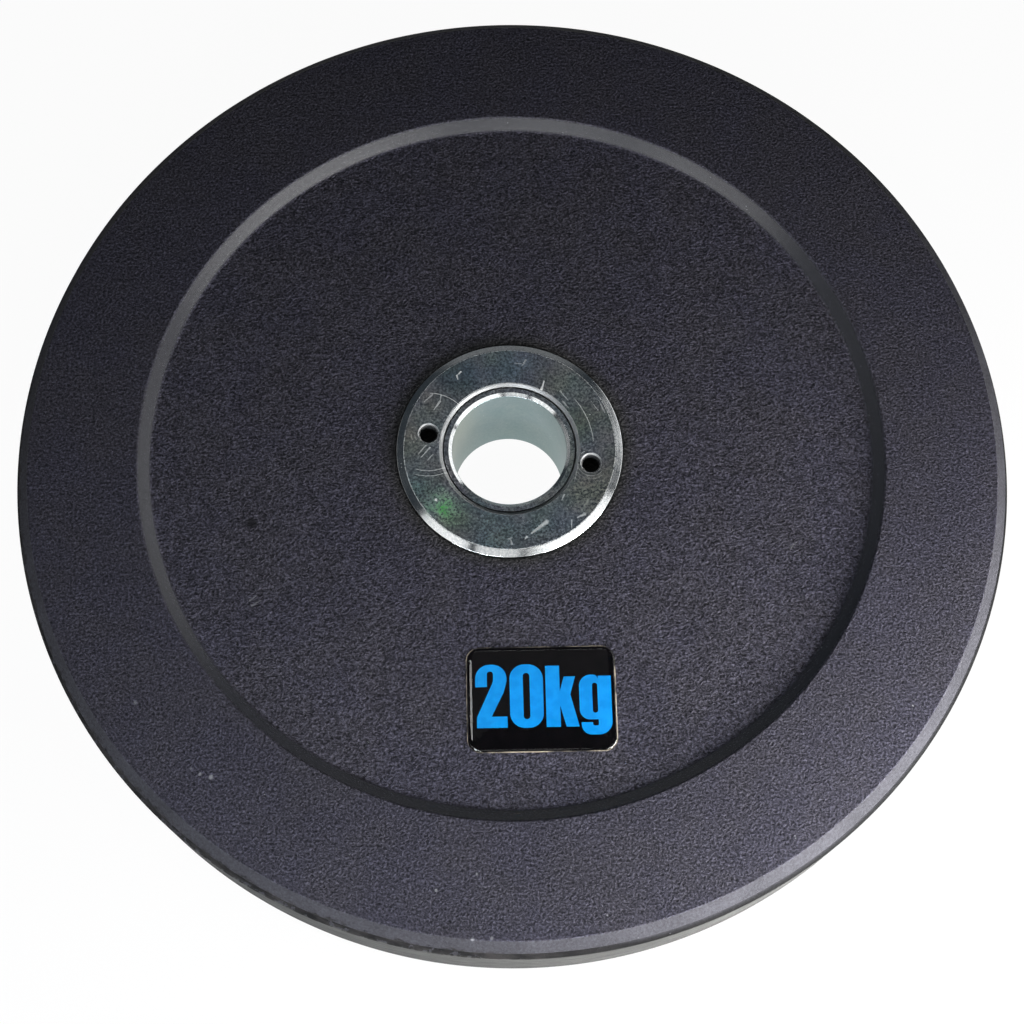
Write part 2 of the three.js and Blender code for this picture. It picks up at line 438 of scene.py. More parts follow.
# Grit and small knocks on the front face: place, reach and brightness.
grit = [
    ((-133.6, -148.5), 1.1, 0.7), ((-128.8, -149.8), 1.4, 1.0), ((-137.5, -146.0), 0.8, 0.5),
    ((-163.0, -117.3), 1.2, 0.6), ((-32.5, -197.6), 0.9, 1.0), ((-15.5, -191.0), 0.8, 0.8),
    ((-17.4, -217.8), 1.2, 0.9), ((-9.4, -217.2), 1.1, 0.6), ((-100.3, -43.1), 0.9, 1.0),
    ((-64.8, -52.5), 0.9, 0.9)]

# Short scrapes on the web: start, end, width and brightness.
scrapes = [
    ((-115.6, -70.4), (-112.6, -68.2), 0.7, 0.40), ((-114.6, -72.8), (-110.8, -70.4), 0.7, 0.45),
    ((124.4, -47.6), (127.4, -44.8), 0.7, 0.40)]

# Scuffs: turn, stretch, spacing, size, share, and whether they keep to the crowded parts of the web.
rubber_scuffs = [
    (0.3, 1.0, 6.0, 0.07, 0.16, False), (2.4, 5.5, 4.1, 0.045, 0.06, False),
    (0.9, 4.5, 3.5, 0.055, 0.06, False), (0.55, 3.5, 2.2, 0.12, 0.40, True),
    (1.75, 3.5, 2.4, 0.11, 0.36, True)]

# Tones of the rubber, each pair from its dark pits to its pale ridges.
face_tones = (0.003, 0.003, 0.004), (0.220, 0.208, 0.278)
# The seat tones are painted shade round the hub, with a browner tone of the rubber.
seat_shade_tones = (0.006, 0.006, 0.006), (0.125, 0.120, 0.112)
dish_tones = (0.010, 0.010, 0.012), (0.076, 0.075, 0.102)
buffed_tones = (0.022, 0.022, 0.025), (0.082, 0.080, 0.093)
wall_tones = (0.040, 0.040, 0.039), (0.094, 0.093, 0.088)
# The groove's tones are painted shade, near black.
groove_shade_tones = (0.004, 0.004, 0.004), (0.034, 0.031, 0.030)
tints = (0.985, 0.99, 1.02), (1.015, 1.01, 0.97)
scuff_colour = (0.24, 0.24, 0.255)
upper_lip = 2.8 * MM, 1.9 * MM, -3.7 * MM
lower_lip = 5.0 * MM, -0.2 * MM, -3.6 * MM
burnt_spot = (-116.0, -34.3)
burnt_reach = 3.6 * MM
burnt_core = 1.4 * MM
burnt_colour = (0.005, 0.005, 0.006)
rim_grain = 1.05 * MM
web_grain = 1.02 * MM
tone_curve = 2.5
grain_relief = 0.75 * MM
rubber_coat_ior = 2.35


def rubber_finish():
    """Black rubber with grained faces, a glossier dish edge, buffed outer edges and small marks."""
    material, tree, shader, place = new_material("moulded_rubber")
    split = add_node(tree, "ShaderNodeSeparateXYZ", {0: place}).outputs
    radius = vector(tree, "LENGTH", stretched(tree, place, 1, 1, 0))["Value"]
    in_web = calc(tree, "LESS_THAN", radius, 0.5 * (web_radius + rim_inner_radius))
    in_front = calc(tree, "GREATER_THAN", split[2], 0.5 * plate_thickness)
    past_edge = plate_radius + 5 * MM
    dish_edge = ringed(tree, place, web_radius + 0.6 * MM, rim_inner_radius - 0.5 * MM, 0.8 * MM)
    buffed = ringed(tree, place, rim_outer_radius + 0.3 * MM, past_edge, 0.3 * MM)
    wall = ringed(tree, place, plate_radius - 0.4 * MM, past_edge, 0.2 * MM)
    margin = ringed(tree, place, rim_outer_radius - 3.0 * MM, rim_outer_radius + 0.3 * MM, 1.2 * MM)
    # Painted shade: the rubber round the flange, out to a few millimetres past it, is darker and browner.
    hub_shade = ringed(tree, place, 0, flange_radius + 4 * MM, 5 * MM)

    # The groove's dark line is painted shade in its hollow under the bevel, streaked paler on the torn side.
    # It is thin on one side. On the other its two lips are torn: how far each is ragged, and how far it lies
    # from its true depth on either side, are in the lips' values.
    ragged = noise(tree, stretched(tree, place, 0.7, 0.7, 1.2), 2.6 * MM, 4, 0.65)
    ragged = smooth_step(tree, ragged, 0.25, 0.75)
    depth = calc(tree, "MINIMUM", split[2], calc(tree, "SUBTRACT", plate_thickness, split[2]))
    torn_side = smooth_step(tree, split[0], 60 * MM, -30 * MM)

    def lip(tear, shift, thin_shift):
        torn = calc(tree, "MULTIPLY_ADD", ragged, tear, shift)
        return calc(tree, "ADD", depth, calc(tree, "MULTIPLY_ADD", torn_side, torn, thin_shift))

    under_upper_lip = smooth_step(tree, lip(*upper_lip),
                                  rim_bevel_depth - 1.5 * MM, rim_bevel_depth + 0.4 * MM)
    over_lower_lip = smooth_step(tree, lip(*lower_lip),
                                 groove_bottom + 1.2 * MM, groove_bottom + 0.4 * MM)
    groove_shade = calc(tree, "MULTIPLY", buffed, calc(tree, "MULTIPLY", under_upper_lip, over_lower_lip))
    smooth = calc(tree, "MAXIMUM", calc(tree, "MAXIMUM", calc(tree, "MULTIPLY", margin, 0.20),
                                        calc(tree, "MULTIPLY", buffed, 0.65)),
                  calc(tree, "MULTIPLY", dish_edge, 0.45))

    grain_spacing = blend_number(tree, in_web, rim_grain, web_grain)
    height = group(tree, grain, {"Vector": place, "Ridge Spacing": grain_spacing})["Height"]
    patches = noise(tree, place, 22 * MM, 3)
    clouds = noise(tree, place, 26 * MM, 3)
    calm = blend_number(tree, smooth, height, 0.5)
    contrast = blend_number(tree, in_web, 0.90, 1.05)
    middle = calc(tree, "MULTIPLY_ADD", patches, 0.05, blend_number(tree, in_web, 0.475, 0.491))
    level = calc(tree, "MULTIPLY_ADD", calc(tree, "SUBTRACT", calm, 0.5), contrast, middle)
    level = calc(tree, "POWER", level, tone_curve)
    tint = blend_colour(tree, smooth_step(tree, clouds, 0.35, 0.65), *tints)
    face = blend_colour(tree, 1.0, blend_colour(tree, level, *face_tones), tint, "MULTIPLY")
    face = blend_colour(tree, hub_shade, face, blend_colour(tree, level, *seat_shade_tones))
    worn = blend_colour(tree, calc(tree, "MULTIPLY_ADD", height, 0.9, calc(
        tree, "MULTIPLY_ADD", patches, 0.6, -0.25)), *buffed_tones)
    streaks = noise(tree, stretched(tree, place, 0.15, 0.15, 1.0), 2.4 * MM, 3, 0.7)
    streaked = blend_colour(tree, smooth_step(tree, streaks, 0.3, 0.7), *wall_tones)
    flash = calc(tree, "MULTIPLY", torn_side, smooth_step(tree, streaks, 0.35, 0.65))
    colour = blend_colour(tree, buffed, face, worn)
    colour = blend_colour(tree, wall, colour, streaked)
    colour = blend_colour(tree, dish_edge, colour, blend_colour(tree, level, *dish_tones))
    # Painted shade: the groove is darkened nearly to black.
    colour = blend_colour(tree, calc(tree, "MULTIPLY", groove_shade, 0.92), colour,
                          blend_colour(tree, flash, *groove_shade_tones))

    crowded = calc(tree, "MULTIPLY", in_web, smooth_step(tree, clouds, 0.46, 0.60))
    scuffs = 0.0
    for *row, crowds in rubber_scuffs:
        mask = scattered(tree, place, *row)
        scuffs = calc(tree, "MAXIMUM", scuffs, calc(tree, "MULTIPLY", crowded, mask) if crowds else mask)
    rubbed_ring = ringed(tree, place, rim_outer_radius - 11 * MM, rim_outer_radius - 5.5 * MM, 1.5 * MM)
    rubbed_side = calc(tree, "MULTIPLY", smooth_step(tree, split[0], 10 * MM, 60 * MM),
                       smooth_step(tree, split[1], -60 * MM, -110 * MM))
    pale = calc(tree, "MULTIPLY", calc(tree, "MULTIPLY", rubbed_ring, rubbed_side),
                scattered(tree, place, 0.7, 1.7, 2.6, 0.16, 0.35))
    for spot, reach, brightness in grit:
        near = smooth_step(tree, distance(tree, place, spot, plate_thickness), reach * MM, 0.2 * reach * MM)
        pale = calc(tree, "MULTIPLY_ADD", near, brightness, pale)
    for start, end, width, brightness in scrapes:
        pale = calc(tree, "MULTIPLY_ADD", struck(tree, place, start, end, width), brightness, pale)
    pale = calc(tree, "MULTIPLY", pale, in_front)
    colour = blend_colour(tree, calc(tree, "MAXIMUM", calc(tree, "MULTIPLY", scuffs, 0.5), pale), colour,
                          scuff_colour)
    near = distance(tree, place, burnt_spot, plate_thickness - dish_depth)
    burnt = calc(tree, "MULTIPLY", smooth_step(tree, near, burnt_reach, burnt_core),
                 smooth_step(tree, height, 0.25, 0.50))
    colour = blend_colour(tree, calc(tree, "MULTIPLY", burnt, 0.85), colour, burnt_colour)
    tree.links.new(colour, shader.inputs["Base Color"])

    rough = blend_number(tree, buffed, calc(tree, "MULTIPLY_ADD", patches, 0.12, 0.50), 0.80)
    rough = blend_number(tree, dish_edge, rough, 0.28)
    tree.links.new(rough, shader.inputs["Roughness"])
    coat = calc(tree, "MULTIPLY", dish_edge, calc(tree, "MULTIPLY_ADD", height, 0.5, 0.7))
    tree.links.new(coat, shader.inputs["Coat Weight"])
    shader.inputs["Specular IOR Level"].default_value = 0.15
    shader.inputs["Coat Roughness"].default_value = 0.24
    shader.inputs["Coat IOR"].default_value = rubber_coat_ior

    relief = calc(tree, "MULTIPLY", height, calc(
        tree, "MULTIPLY", blend_number(tree, in_web, 0.72, 1.05), blend_number(tree, smooth, 1.0, 0.14)))
    relief = calc(tree, "MULTIPLY_ADD", scuffs, 0.25, relief)
    bump = add_node(tree, "ShaderNodeBump", {
        "Strength": 1.0, "Distance": grain_relief, "Height": relief}).outputs[0]
    tree.links.new(bump, shader.inputs["Normal"])
    return material


rubber = rubber_finish()

web_corner = 1.6 * MM
rim_corner = 0.9 * MM
edge_corner = 0.7 * MM
trim_waver = 0.12 * MM
pocket_corner = 0.8 * MM

face_edge = [
    (web_radius, dish_depth, web_corner, 0),
    (rim_inner_radius, 0, rim_corner, 0),
    (rim_outer_radius, 0, edge_corner, 0),
    (bevel_foot_radius, rim_bevel_depth, edge_corner, 0.3 * trim_waver),
    (groove_radius, groove_top, 0.3 * MM, trim_waver),
    (groove_radius, groove_bottom, 0.3 * MM, trim_waver),
    (plate_radius, wall_depth, edge_corner, 0),
]
pocket_radius = flange_radius + rubber_clearance
neck_pocket_radius = neck_radius + rubber_clearance
neck_pocket_level = plate_thickness - seat_depth - neck_length - neck_end_clearance
rubber_bore_radius = sleeve_radius + rubber_clearance
rubber_profile = [
    (rubber_bore_radius, seat_depth, 0),
    (pocket_radius, seat_depth, 0),
    (pocket_radius, dish_depth, pocket_corner),
    *face_edge,
    *[(radius, plate_thickness - depth, corner, waver)
      for radius, depth, corner, waver in reversed(face_edge)],
    (pocket_radius, plate_thickness - dish_depth, pocket_corner),
    (pocket_radius, plate_thickness - seat_depth, 0),
    (neck_pocket_radius, plate_thickness - seat_depth, 0),
    (neck_pocket_radius, neck_pocket_level, 0),
    (rubber_bore_radius, neck_pocket_level, 0),
]
rubber_body = turned_piece("rubber_body", rubber_profile, rubber_segments, rubber_corner_steps, rubber)
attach(rubber_body, "root")
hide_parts("rubber_plate")


# Hub sleeve
# A steel tube that slides on the bar, turned in one piece with the back flange, then bright zinc
# plated. Its end stands a little below the front face, chamfered inside. Two holes in each flange
# take the pins of a spanner.

sleeve_low, sleeve_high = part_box("hub_sleeve")
bore_radius = 26 * MM
bore_chamfer_width = 1.7 * MM
bore_chamfer_depth = 1.2 * MM
nut_bore_radius = 30.3 * MM
nut_mouth_chamfer = 1.4 * MM
sleeve_end_chamfer = 0.4 * MM
flange_chamfer_width = 3.3 * MM
flange_chamfer_depth = 1.8 * MM
turned_corner = 0.25 * MM
fine_corner = 0.12 * MM
pin_hole_radius = 4 * MM
pin_countersink = 0.8 * MM
pin_circle_radius = 37.5 * MM
pin_start = math.radians(-11.4)
pin_hole_sides = 64
hub_segments = 384
hub_corner_steps = 4
sharp_turn = math.radians(35)

pins = [(pin_circle_radius / MM * math.cos(pin_start + i * math.pi),
         pin_circle_radius / MM * math.sin(pin_start + i * math.pi)) for i in (0, 1)]

# Arcs that a slipping spanner has scribed: centre, radius, width, the direction of the middle and
# half the angle in degrees, and brightness.
spanner_arcs = [
    ((0, 0), 38.2, 0.20, 21, 20, 0.63), ((0, 0), 38.6, 0.16, 78, 10, 0.33),
    ((0, 0), 37.3, 0.16, 80, 9, 0.30), (pins[1], 18.1, 0.26, 280, 30, 0.54),
    (pins[1], 20.6, 0.24, 278, 28, 0.51), (pins[1], 19.6, 0.26, 66, 24, 0.68),
    (pins[0], 6.2, 0.22, 200, 120, 0.28), (pins[1], 6.3, 0.22, 100, 150, 0.24),
    (pins[0], 7.6, 0.16, 260, 60, 0.24), (pins[1], 7.9, 0.16, 165, 80, 0.24),
    (pins[1], 9.4, 0.16, 175, 50, 0.16)]

# Dents and scrapes in the plating: start, end, width and brightness.
dents = [
    ((-22.0, 37.5), (-23.8, 35.6), 0.60, 0.9), ((-23.8, 35.6), (-23.3, 33.6), 0.60, 0.9),
    ((-31.0, 26.0), (-31.5, 23.0), 0.50, 0.55), ((-31.5, 23.0), (-34.3, 18.8), 0.75, 0.60),
    ((-35.0, 26.2), (-38.7, 22.8), 0.60, 0.50), ((-36.1, 0.4), (-40.1, -4.3), 0.60, 0.55),
    ((-38.0, 1.4), (-41.4, -2.8), 0.55, 0.50), ((-34.8, -3.0), (-37.0, -5.6), 0.50, 0.45),
    ((15.0, 28.6), (16.2, 32.6), 0.80, 1.0), ((7.9, 43.1), (6.1, 40.1), 0.60, 0.45),
    ((3.0, 41.5), (8.0, 41.0), 0.45, 0.35), ((16.3, -35.3), (9.6, -40.5), 1.50, 0.55),
    ((33.4, -31.7), (30.2, -33.3), 0.90, 0.50), ((27.5, -34.5), (27.4, -38.4), 0.45, 0.50),
    ((7.3, -42.3), (6.6, -43.2), 0.80, 0.60), ((0.6, -45.5), (0.2, -43.6), 0.80, 0.45),
    ((-0.8, -43.2), (0.8, -42.6), 0.60, 0.40), ((-33.3, -24.6), (-32.8, -25.1), 0.85, 0.9),
    ((40.5, 18.0), (37.5, 22.5), 0.50, 0.30), ((43.5, 17.0), (41.0, 23.0), 0.60, 0.35),
    ((23.5, 27.5), (27.0, 23.0), 0.60, 0.35), ((24.5, 22.5), (27.0, 19.5), 0.70, 0.40),
    ((31.0, -8.0), (29.0, -16.5), 0.50, 0.30), ((24.3, -22.5), (23.3, -25.0), 0.60, 0.45)]

# Stains on the plating: middle, reach, colour, strength and how much duller the stain is.
stains = [
    ((-41.0, -21.0), 15, (0.62, 0.78, 0.76), 0.80, 0.17),
    ((-26.0, -30.0), 14, (0.70, 0.98, 0.72), 0.80, 0.12),
    ((-8.0, -42.0), 20, (0.72, 0.88, 0.94), 0.80, 0.15),
    ((36.0, -23.0), 17, (1.0, 0.96, 0.80), 0.90, 0.18),
    ((16.0, -40.0), 18, (0.86, 0.94, 1.0), 0.80, 0.15),
    ((31.0, 14.0), 14, (0.72, 0.86, 0.70), 0.70, 0.05),
    ((-22.0, 36.0), 22, (0.52, 0.60, 0.68), 0.70, -0.02),
    ((6.0, 41.0), 22, (0.72, 0.78, 0.92), 0.80, 0.02)]

# Fine scratches all over the plating: turn, stretch, spacing, size and share.
plating_scratches = [
    (0.4, 7, 2.4, 0.060, 0.30), (1.3, 14, 3.2, 0.045, 0.30), (2.2, 6, 2.2, 0.060, 0.26),
    (2.9, 9, 2.6, 0.055, 0.22), (0.0, 1.5, 1.9, 0.15, 0.26)]

# Bands with their own polish: inner and outer radius, shade, and how far the plating is dulled.
# The dulled one is the nut's mouth, on the front alone: painted shade, dark and far less metal, so that
# its rounded edge shows only a faint highlight.
turned_bands = [
    (flange_radius - flange_chamfer_width, flange_radius + 1 * MM, 1.0, 0),
    (sleeve_radius + 0.1 * MM, nut_bore_radius + nut_mouth_chamfer + 0.3 * MM, 0.35, 0.93),
    (bore_radius + 0.1 * MM, bore_radius + bore_chamfer_width, 0.97, 0)]

plating_tones = (0.24, 0.265, 0.29), (0.97, 0.99, 0.98)
turned_tones = (0.74, 0.77, 0.78), (0.97, 0.98, 0.97)
countersink_tones = (0.10, 0.10, 0.10), (0.50, 0.51, 0.51)
bore_tones = (0.20, 0.31, 0.32), (0.30, 0.37, 0.37)
bore_tan = (0.40, 0.42, 0.33)
bore_shade = (0.13, 0.21, 0.20)
hole_and_joint_shade = (0.010, 0.009, 0.008)
scar_colour = (0.88, 0.89, 0.87)
green_spot = (-30.2, -27.6)
green_colour = (0.065, 0.42, 0.065)
green_reach = 11 * MM
green_core = -3 * MM
green_wander = 22 * MM
tool_ring_spacing = 0.35 * MM
mottle_spacing = 1.1 * MM
plating_relief = 0.012 * MM


def arc_line_group():
    """Masks a thin scribed arc about Centre.

    Middle points to the arc's middle, and Spread is the cosine of its half angle.
    """
    tree, given, made = new_tree(
        "arc_line", "ShaderNodeTree",
        [("Vector", "Vector"), ("Centre", "Vector"), ("Radius", "Float"), ("Width", "Float"),
         ("Middle", "Vector"), ("Spread", "Float")],
        [("Mask", "Float")])
    away = vector(tree, "SUBTRACT", given["Vector"], given["Centre"])[0]
    flat = vector(tree, "MULTIPLY", away, (1, 1, 0))[0]
    length = vector(tree, "LENGTH", flat)["Value"]
    off = calc(tree, "ABSOLUTE", calc(tree, "SUBTRACT", length, given["Radius"]))
    line = smooth_step(tree, off, given["Width"], calc(tree, "MULTIPLY", given["Width"], 0.3))
    facing = vector(tree, "DOT_PRODUCT", vector(tree, "NORMALIZE", flat)[0], given["Middle"])["Value"]
    within = smooth_step(tree, facing, given["Spread"], calc(tree, "ADD", given["Spread"], 0.04))
    tree.links.new(calc(tree, "MULTIPLY", line, within), made.inputs["Mask"])
    return tree


arc_line = arc_line_group()


def direction(degrees):
    """The unit vector at that angle from X, in the plane of the faces."""
    return (math.cos(math.radians(degrees)), math.sin(math.radians(degrees)), 0)


def zinc_finish(name, worn):
    """Bright zinc on turned steel. worn adds the marks of the face that the spanner works on."""
    material, tree, shader, place = new_material(name)
    split = add_node(tree, "ShaderNodeSeparateXYZ", {0: place}).outputs
    in_front = smooth_step(tree, split[2], 0.50 * plate_thickness, 0.55 * plate_thickness)
    in_bore = ringed(tree, place, 0, bore_radius + 0.15 * MM, 0.1 * MM)
    radius = vector(tree, "LENGTH", stretched(tree, place, 1, 1, 0))["Value"]
    rings = add_node(tree, "ShaderNodeTexNoise", {
        "W": calc(tree, "ADD", radius, split[2]), "Scale": 1 / tool_ring_spacing, "Detail": 3},
        noise_dimensions="1D").outputs[0]
    smudges = noise(tree, place, 9 * MM, 5, 0.65)
    mottle = group(tree, grain, {"Vector": place, "Ridge Spacing": mottle_spacing})["Height"]
    tone = calc(tree, "MULTIPLY_ADD", calc(tree, "SUBTRACT", mottle, 0.5), 2.6,
                calc(tree, "MULTIPLY_ADD", smudges, 1.0, -0.05))
    colour = blend_colour(tree, tone, *plating_tones)
    drift = add_node(tree, "ShaderNodeTexNoise", {
        "Vector": place, "Scale": 1 / (17 * MM), "Detail": 2}).outputs["Color"]
    hue = vector(tree, "MULTIPLY_ADD", drift, (0.50, 0.25, 0.60), (0.72, 0.88, 0.73))[0]
    colour = blend_colour(tree, 1.0, colour, hue, "MULTIPLY")
    rough = calc(tree, "MULTIPLY_ADD", smudges, 0.16, calc(tree, "MULTIPLY", mottle, 0.14))
    metal = 1.0

    def marked(scars, mask, brightness):
        return calc(tree, "MAXIMUM", scars, calc(tree, "MULTIPLY", brightness, mask))

    def less_metal(metal, mask, loss):
        return calc(tree, "MULTIPLY", metal, calc(tree, "MULTIPLY_ADD", mask, -loss, 1.0))

    scars = 0.0
    for row in plating_scratches:
        scars = marked(scars, scattered(tree, place, *row), 0.42)
    face_edge_radius = flange_radius - flange_chamfer_width
    rubbed_edge = ringed(tree, place, face_edge_radius - 0.25 * MM, face_edge_radius + 0.15 * MM, 0.10 * MM)
    scars = marked(scars, rubbed_edge, calc(tree, "MULTIPLY_ADD", mottle, 0.7, 0.02))
    if worn:
        for middle, reach, stain, strength, dulling in stains:
            near = distance(tree, place, middle, nut_high.z)
            there = calc(tree, "MULTIPLY", smooth_step(tree, near, reach * MM, 0.15 * reach * MM),
                         calc(tree, "MULTIPLY_ADD", mottle, 1.6, 0.25))
            there = calc(tree, "MULTIPLY", there, strength)
            stained = blend_colour(tree, 1.0, colour, stain, "MULTIPLY")
            colour = blend_colour(tree, there, colour, stained)
            rough = calc(tree, "MULTIPLY_ADD", there, dulling, rough)
        for centre, arc_radius, width, middle, half, brightness in spanner_arcs:
            scars = marked(scars, group(tree, arc_line, {
                "Vector": place, "Centre": on_face(*centre), "Radius": arc_radius * MM, "Width": width * MM,
                "Middle": direction(middle), "Spread": math.cos(math.radians(half))})["Mask"], brightness)
        for start, end, width, brightness in dents:
            scars = marked(scars, struck(tree, place, start, end, width), brightness)

    # The nut's mouth band is painted shade, darker and duller than the plating round it.
    for inner, outer, shade, shade_dulling in turned_bands:
        turned = ringed(tree, place, inner, outer, 0.12 * MM)
        if shade_dulling:
            turned = calc(tree, "MULTIPLY", turned, in_front)
        shaded = [tuple(shade * part for part in turned_tone) for turned_tone in turned_tones]
        colour = blend_colour(tree, turned, colour, blend_colour(tree, tone, *shaded))
        rough = blend_number(tree, turned, rough, calc(
            tree, "MULTIPLY_ADD", smudges, 0.16, 0.05 + shade_dulling * 0.2))
        metal = calc(tree, "MULTIPLY_ADD", turned, -shade_dulling, metal)

    # The countersinks are dull, and the holes and the joint round the sleeve's end are painted shade, near
    # black.
    sinks = 0.0
    shaded_holes_and_joint = calc(tree, "MULTIPLY", in_front, ringed(
        tree, place, sleeve_radius - 0.35 * MM, nut_bore_radius + 0.12 * MM, 0.12 * MM))
    for centre in pins:
        shifted = vector(tree, "SUBTRACT", place, on_face(*centre))[0]
        sinks = calc(tree, "MAXIMUM", sinks, ringed(
            tree, shifted, pin_hole_radius, pin_hole_radius + pin_countersink + 0.1 * MM, 0.08 * MM))
        shaded_holes_and_joint = calc(tree, "MAXIMUM", shaded_holes_and_joint, ringed(
            tree, shifted, -1 * MM, pin_hole_radius + 0.25 * MM, 0.1 * MM))
    colour = blend_colour(tree, sinks, colour, blend_colour(tree, mottle, *countersink_tones))
    rough = blend_number(tree, sinks, rough, 0.5)
    metal = less_metal(metal, sinks, 0.9)
    colour = blend_colour(tree, calc(tree, "MULTIPLY", shaded_holes_and_joint, 0.9), colour, hole_and_joint_shade)
    rough = blend_number(tree, shaded_holes_and_joint, rough, 0.6)
    metal = less_metal(metal, shaded_holes_and_joint, 0.8)
    # A green patch on the face, rougher and less metal than the plating.
    if worn:
        wandering = calc(tree, "MULTIPLY_ADD", calc(tree, "SUBTRACT", smudges, 0.5), green_wander,
                         distance(tree, place, green_spot, nut_high.z))
        green_patch = calc(tree, "MULTIPLY", smooth_step(tree, wandering, green_reach, green_core), calc(
            tree, "MULTIPLY_ADD", smooth_step(tree, mottle, 0.25, 0.75), 0.85, 0.25))
        colour = blend_colour(tree, green_patch, colour, green_colour)
        rough = blend_number(tree, green_patch, rough, 0.45)
        metal = less_metal(metal, green_patch, 0.85)

    tan = smooth_step(tree, split[0], -8 * MM, -26 * MM)
    bore_colour = blend_colour(tree, smudges, *bore_tones)
    bore_colour = blend_colour(tree, calc(tree, "MULTIPLY", tan, 0.6), bore_colour, bore_tan)
    deep = calc(tree, "MAXIMUM", smooth_step(tree, split[2], 0.8 * nut_high.z, 0.3 * nut_high.z),
                smooth_step(tree, split[0], 10 * MM, 26 * MM))
    bore_colour = blend_colour(tree, calc(tree, "MULTIPLY", deep, 0.6), bore_colour, bore_shade)
    colour = blend_colour(tree, calc(tree, "MULTIPLY", in_bore, 0.95), colour, bore_colour)
    rough = blend_number(tree, in_bore, rough, 0.42)
    colour = blend_colour(tree, calc(tree, "MULTIPLY", scars, 1.3), colour, scar_colour)
    rough = blend_number(tree, scars, rough, 0.6)
    metal = less_metal(metal, scars, 0.75)
    tree.links.new(colour, shader.inputs["Base Color"])
    tree.links.new(rough, shader.inputs["Roughness"])
    tree.links.new(metal, shader.inputs["Metallic"])
    relief = calc(tree, "MULTIPLY_ADD", rings, 0.5, calc(tree, "MULTIPLY", mottle, 0.5))
    relief = calc(tree, "SUBTRACT", relief, scars)
    bump = add_node(tree, "ShaderNodeBump", {
        "Strength": 1.0, "Distance": plating_relief, "Height": relief}).outputs[0]
    tree.links.new(bump, shader.inputs["Normal"])
    return material


def drill_pin_holes(piece, level, outward, finish):
    """Drills and countersinks both spanner holes. outward is 1 for a flange face that looks up."""
    inner = -flange_thickness - 1 * MM
    drill = [(0, inner, 0), (pin_hole_radius, inner, 0), (pin_hole_radius, -pin_countersink, 0),
             (pin_hole_radius + pin_countersink, 0, 0),
             (pin_hole_radius + 2 * pin_countersink, pin_countersink, 0), (0, pin_countersink, 0)]
    for i in range(2):
        turn = pin_start + i * math.pi
        tool = turned_piece(f"drill_{i}", drill, pin_hole_sides, 1, finish)
        if outward < 0:
            tool.data.transform(Matrix.Rotation(math.pi, 4, "X"))
        tool.data.transform(Matrix.Translation((
            pin_circle_radius * math.cos(turn), pin_circle_radius * math.sin(turn), level)))
        cut = piece.modifiers.new("pin_hole", "BOOLEAN")
        cut.operation = "DIFFERENCE"
        cut.solver = "MANIFOLD"
        cut.object = tool
        flatten(piece)
        bpy.data.objects.remove(tool)
    piece.data.set_sharp_from_angle(angle=sharp_turn)


sleeve_end = sleeve_high.z
chamfered_radius = bore_radius + bore_chamfer_width
sleeve_profile = [
    (chamfered_radius, face_depth, turned_corner),
    (flange_radius - flange_chamfer_width, face_depth, turned_corner),
    (flange_radius, face_depth + flange_chamfer_depth, turned_corner),
    (flange_radius, seat_depth, turned_corner),
    (sleeve_radius, seat_depth, fine_corner),
    (sleeve_radius, sleeve_end - sleeve_end_chamfer, fine_corner),
    (sleeve_radius - sleeve_end_chamfer, sleeve_end, fine_corner),
    (chamfered_radius, sleeve_end, fine_corner),
    (bore_radius, sleeve_end - bore_chamfer_depth, turned_corner),
    (bore_radius, face_depth + bore_chamfer_depth, turned_corner),
]
sleeve_zinc = zinc_finish("zinc_sleeve", worn=False)
sleeve_body = turned_piece("sleeve_body", sleeve_profile, hub_segments, hub_corner_steps, sleeve_zinc)
drill_pin_holes(sleeve_body, face_depth, -1, sleeve_zinc)
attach(sleeve_body, "root")
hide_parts("hub_sleeve")


# Hub ring nut
# The front flange, a zinc-plated ring whose threaded neck screws down over the sleeve and clamps
# the rubber. A pin spanner drives it by two holes, and has left scribed arcs round them. A green
# patch lies on its face.

nut_mouth_rub = 1.3 * MM
nut_profile = [
    (nut_bore_radius, nut_low.z, fine_corner),
    (neck_radius, nut_low.z, fine_corner),
    (neck_radius, nut_high.z - flange_thickness, fine_corner),
    (flange_radius, nut_high.z - flange_thickness, turned_corner),
    (flange_radius, nut_high.z - flange_chamfer_depth, turned_corner),
    (flange_radius - flange_chamfer_width, nut_high.z, turned_corner),
    (nut_bore_radius + nut_mouth_chamfer, nut_high.z, nut_mouth_rub),
    (nut_bore_radius, nut_high.z - nut_mouth_chamfer, fine_corner),
]
nut_zinc = zinc_finish("zinc_ring_nut", worn=True)
ring_nut_body = turned_piece("ring_nut_body", nut_profile, hub_segments, hub_corner_steps, nut_zinc)
drill_pin_holes(ring_nut_body, nut_high.z, 1, nut_zinc)
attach(ring_nut_body, "root")
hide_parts("hub_ring_nut")


# Weight label
# A printed vinyl film stuck on the web: a thin pale edge, a glossy black ground and the weight in
# blue figures. Each layer of print is a thin sheet of its own, cut from one rounded outline.

film_low, film_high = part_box("label_film")
label_width = 65 * MM
label_height = 46.5 * MM
label_corner = 6 * MM
label_corner_steps = 12
label_turn = math.radians(0.8)
film_thickness = film_high.z - film_low.z
ground_inset = 0.45 * MM
ground_shift = 0.2 * MM
ink_thickness = 0.012 * MM
film_middle = (film_low + film_high) / 2
label_place = (Matrix.Translation((film_middle.x, film_middle.y, film_low.z))
               @ Matrix.Rotation(label_turn, 4, "Z"))


